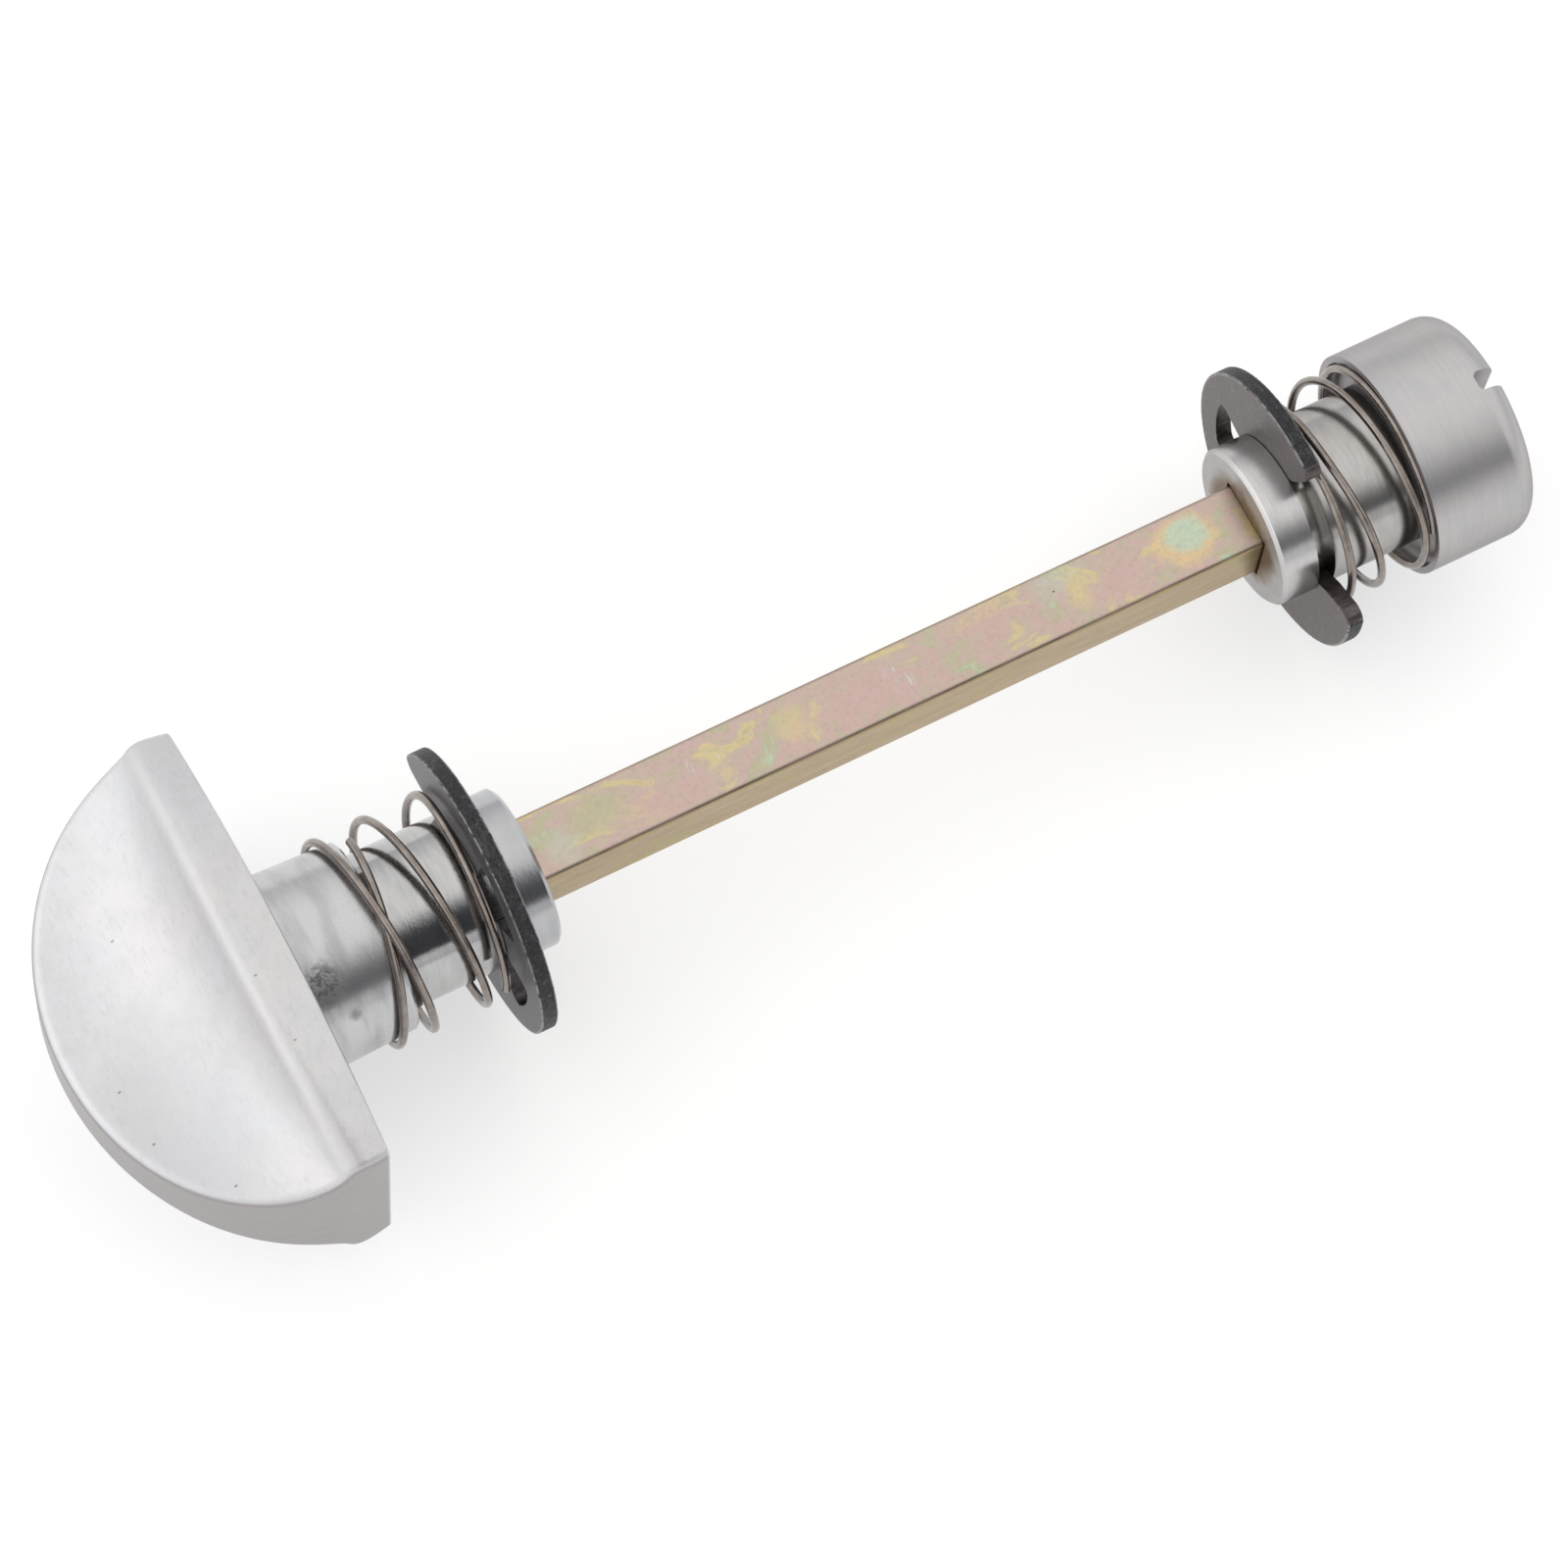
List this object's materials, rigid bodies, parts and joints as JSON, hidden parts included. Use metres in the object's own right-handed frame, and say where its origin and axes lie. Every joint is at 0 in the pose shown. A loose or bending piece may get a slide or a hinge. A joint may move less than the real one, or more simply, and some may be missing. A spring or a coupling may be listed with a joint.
{
  "type": "privacy turn and release set",
  "caption": "Half-moon thumb turn and round coin release on a square spindle, each with a retaining clip and a spring, for a privacy lock.",
  "frame": {"origin": "on the spindle's axis, in the plane of the grip's flat seat face, where the round boss leaves it", "axes": "+X along the spindle from the thumb turn to the release; +Z out of the turn's broad face"},
  "size_m": [0.1094, 0.0338, 0.0236],
  "materials": {
    "cast_grip": "satin, lightly pitted",
    "turned_knob": "fine turned, satin",
    "spring_wire": "drawn stainless wire",
    "clip_steel": "black phosphated spring steel, scratched",
    "plated_bar": "yellow passivated zinc, iridescent"
  },
  "bodies": {
    "turn": {"thumb_turn": "cast_grip", "spindle": "plated_bar"},
    "turn_coil": {"turn_spring": "spring_wire"},
    "turn_ring": {"turn_clip": "clip_steel"},
    "release": {"release_knob": "turned_knob"},
    "release_coil": {"release_spring": "spring_wire"},
    "release_ring": {"release_clip": "clip_steel"}
  },
  "joints": [
    {"name": "release_slide", "type": "slide", "parent": "turn", "child": "release", "axis": [1, 0, 0], "range_m": [-0.0065, 0.004]},
    {"name": "turn_clip_spin", "type": "hinge", "parent": "turn", "child": "turn_ring", "pos_m": [0.0148, 0, 0], "axis": [1, 0, 0], "continuous": true},
    {"name": "turn_spring_spin", "type": "hinge", "parent": "turn", "child": "turn_coil", "pos_m": [0.0096, 0, 0], "axis": [1, 0, 0], "continuous": true},
    {"name": "release_clip_spin", "type": "hinge", "parent": "release", "child": "release_ring", "pos_m": [0.0775, 0, 0], "axis": [1, 0, 0], "continuous": true},
    {"name": "release_spring_spin", "type": "hinge", "parent": "release", "child": "release_coil", "pos_m": [0.0818, 0, 0], "axis": [1, 0, 0], "continuous": true}
  ]
}
